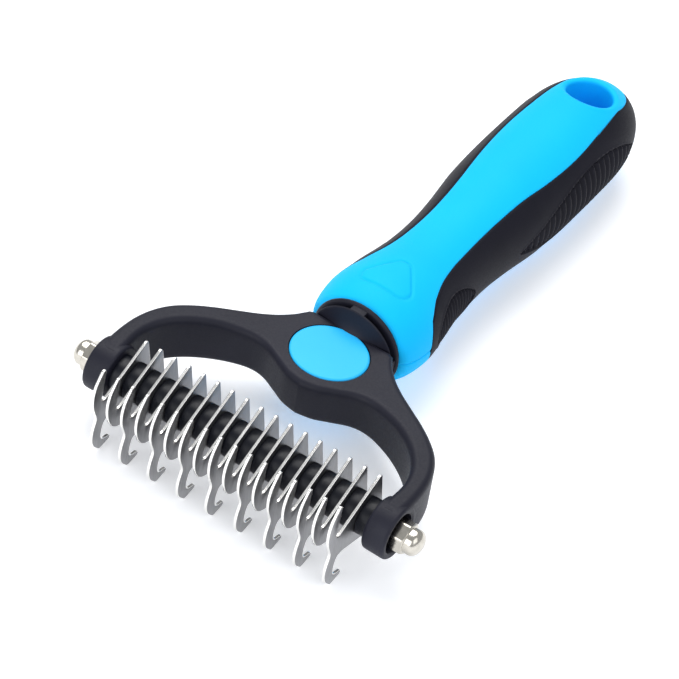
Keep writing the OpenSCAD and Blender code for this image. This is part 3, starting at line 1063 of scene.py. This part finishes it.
@dataclass
class SideGrip:
    """The soft band along both sides and round the rear end of the handle."""

    form: HandleForm = field(default_factory=HandleForm)
    pads: tuple = (
        RibPad(56.2, 76.5, 5.8, 1.42, 0.9),
        RibPad(95.0, 147.5, 7.2, 2.3, 1.45),
    )
    lip: float = 0.28
    lip_width: float = 0.6

    def edges(self) -> tuple:
        """The band's upper edge and its outermost line, seen from above, from right front round to left front.

        Returns:
            The two curves, matched point by point.
        """
        f = self.form
        y = np.concatenate([np.linspace(53.3, 56.0, 20), np.linspace(56.2, f.shell_turn, 480)])
        rest = table_value(f.split, y)
        wide = f.half_width(y)
        edge = np.stack([np.minimum(rest, wide - 0.01), y], axis=-1)
        outer = np.stack([wide, y], axis=-1)
        a = np.linspace(0, np.pi / 2, 40)[1:]
        half = table_value(f.split, np.array(f.shell_turn))
        turn = np.stack([half * np.cos(a), f.shell_turn + (f.shell_end - f.shell_turn) * np.sin(a)], axis=-1)
        t0 = (f.shell_turn - f.y1 + f.rear_cap) / f.rear_cap
        psi0 = math.asin(math.sqrt(t0**f.power))
        psi = psi0 + (np.pi / 2 - psi0) * a / (np.pi / 2)
        round_y = f.y1 - f.rear_cap + f.rear_cap * np.sin(psi) ** (2 / f.power)
        round_x = table_value(f.width, round_y) * np.cos(psi) ** (2 / f.power) * f.chord
        edge = np.concatenate([edge, turn])
        outer = np.concatenate([outer, np.stack([round_x, round_y], axis=-1)])
        mirrored = np.array([-1, 1])
        return (np.concatenate([edge, (edge[:-1] * mirrored)[::-1]]),
                np.concatenate([outer, (outer[:-1] * mirrored)[::-1]]))

    def surface(self) -> Array:
        """The band: at each place its section runs over the side of the handle and back inside it.

        Points go from the upper edge out to the widest line and down to the lower edge, spaced by the
        cosine of the angle on the section, and are set in along the surface's normal at pads and edges.

        Returns:
            Grid of points, along the band by round its section.
        """
        f = self.form
        edge, outer = self.edges()
        edge_z = f.height(edge[:, 0], edge[:, 1])
        b = np.arcsin(np.clip(edge_z / np.maximum(f.half_height(edge[:, 1]), 1e-6), 0, 1))[:, None]
        v = np.linspace(1, -1, 73)[None]
        phi = b * v
        share = (np.cos(phi) - np.cos(b)) / np.maximum(1 - np.cos(b), 1e-9)
        xy = edge[:, None] + (outer - edge)[:, None] * share[..., None]
        z = f.height(xy[..., 0], xy[..., 1]) * np.sign(v)
        points = np.concatenate([xy, z[..., None]], axis=-1)
        along = np.gradient(points, axis=0)
        across = np.gradient(points, axis=1)
        normal = np.cross(across, along)
        normal /= np.maximum(np.linalg.norm(normal, axis=-1, keepdims=True), 1e-9)
        middle = np.stack([np.zeros_like(z), xy[..., 1], np.zeros_like(z)], axis=-1)
        normal *= np.sign(np.sum(normal * (points - middle * np.array([1, 0.999, 1])), axis=-1, keepdims=True))
        size = np.linalg.norm(across, axis=-1)
        walked = np.cumsum(size, axis=1)
        near = np.minimum(walked - walked[:, :1], walked[:, -1:] - walked)
        sink = self.lip * np.maximum(0, 1 - near / self.lip_width) ** 2
        on_side = ease((f.shell_turn + 3 - xy[..., 1]) / 2)
        for pad in self.pads:
            sink = sink + pad.sink(xy[..., 1], z) * on_side
        points = points - normal * sink[..., None]
        narrow = np.array([0.82, 1, 0.8])
        pick = np.linspace(points.shape[1] - 1, 0, 7).round().astype(int)
        inside = points[:, pick] * narrow
        inside[..., 1] = np.where(inside[..., 1] > f.shell_turn,
                                  f.shell_turn + (inside[..., 1] - f.shell_turn) * 0.8, inside[..., 1])
        return np.concatenate([points, inside], axis=1)

    def build(self, shop: Workshop) -> None:
        """Makes the band and closes its two front tips."""
        grid = self.surface()
        solid = Solid("grip_band")
        solid.add(grid, wrap_cols=True)
        n, last = grid.shape[1], grid.shape[0] - 1
        solid.cap(np.arange(n))
        solid.cap(last * n + np.arange(n))
        piece = solid.build(sharp=60)
        shop.place(piece, ["side_grip"], "black_grip", shop.finishes.grip)


# ---- the studio ----


@dataclass
class Studio:
    """Pale floor, soft lights and the camera."""

    aim: tuple = (0.0, -0.085, 0.0)
    eye: tuple = (267.45, -625.83, 554.11)
    azimuth: float = 27.4
    elevation: float = 43.28
    roll: float = 9.66
    lens: float = 186.85

    def floor(self) -> None:
        """A wide pale floor under the comb's lowest point."""
        low = min(corner[2] for corner in CAD_BOX)
        mesh = bpy.data.meshes.new("floor")
        reach = 4.0
        corners = [(-reach, -reach, low), (reach, -reach, low), (reach, reach, low), (-reach, reach, low)]
        mesh.from_pydata(corners, [], [(0, 1, 2, 3)])
        piece = bpy.data.objects.new("floor", mesh)
        bpy.context.scene.collection.objects.link(piece)
        s = Shader.start("pale_floor")
        s.surface.inputs["Base Color"].default_value = (0.9, 0.91, 0.93, 1)
        s.surface.inputs["Roughness"].default_value = 0.8
        s.surface.inputs["Emission Color"].default_value = (0.97, 0.98, 1.0, 1)
        s.surface.inputs["Emission Strength"].default_value = 0.32
        mesh.materials.append(s.material)

    def light(self, name: str, place: tuple, size: float, power: float, colour: tuple = (1, 1, 1)) -> None:
        """A square soft light that is aimed at the comb."""
        data = bpy.data.lights.new(name, "AREA")
        data.size = size
        data.energy = power
        data.color = colour
        lamp = bpy.data.objects.new(name, data)
        lamp.location = place
        aim = Vector(self.aim) - Vector(place)
        lamp.rotation_euler = aim.to_track_quat("-Z", "Y").to_euler()
        bpy.context.scene.collection.objects.link(lamp)

    def camera(self) -> None:
        """A long lens that looks down on the comb from the front right, turned a little about its own axis."""
        data = bpy.data.cameras.new("camera")
        data.lens = self.lens
        data.sensor_width = 36.0
        data.clip_end = 20.0
        camera = bpy.data.objects.new("camera", data)
        turn = Matrix.Rotation(math.radians(self.azimuth), 4, "Z")
        tilt = Matrix.Rotation(math.radians(90 - self.elevation), 4, "X")
        roll = Matrix.Rotation(math.radians(self.roll), 4, "Z")
        camera.matrix_world = Matrix.Translation(Vector(self.eye) * MM) @ turn @ tilt @ roll
        bpy.context.scene.collection.objects.link(camera)
        bpy.context.scene.camera = camera

    def build(self) -> None:
        """Sets floor, lights, surroundings and camera."""
        self.floor()
        self.light("key", (-0.45, 0.355, 1.1), 1.0, 13, (1.0, 0.99, 0.98))
        self.light("fill", (0.9, -0.445, 0.8), 0.9, 4, (0.97, 0.98, 1.0))
        self.light("front", (-0.2, -1.145, 0.45), 0.8, 5.5, (0.97, 0.98, 1.0))
        world = bpy.data.worlds.new("studio")
        bpy.context.scene.world = world
        world.use_nodes = True
        world.node_tree.nodes["Background"].inputs["Color"].default_value = (0.95, 0.97, 1, 1)
        world.node_tree.nodes["Background"].inputs["Strength"].default_value = 0.55
        bpy.context.scene.view_settings.view_transform = "Standard"
        self.camera()


def main() -> None:
    """Builds every sub-assembly in order, then the studio."""
    shop = Workshop()
    Yoke().build(shop)
    SpacerStack().build(shop)
    BladeRow().build(shop)
    for side in Side:
        CapNut(side).build(shop)
    for face in Face:
        Shell(face).build(shop)
    SideGrip().build(shop)
    shop.dress("comb_shaft", shop.finishes.rod)
    shop.dress("tang_pin", shop.finishes.rod)
    shop.dress("handle_core", shop.finishes.core)
    Studio().build()


if __name__ == "__main__":
    main()
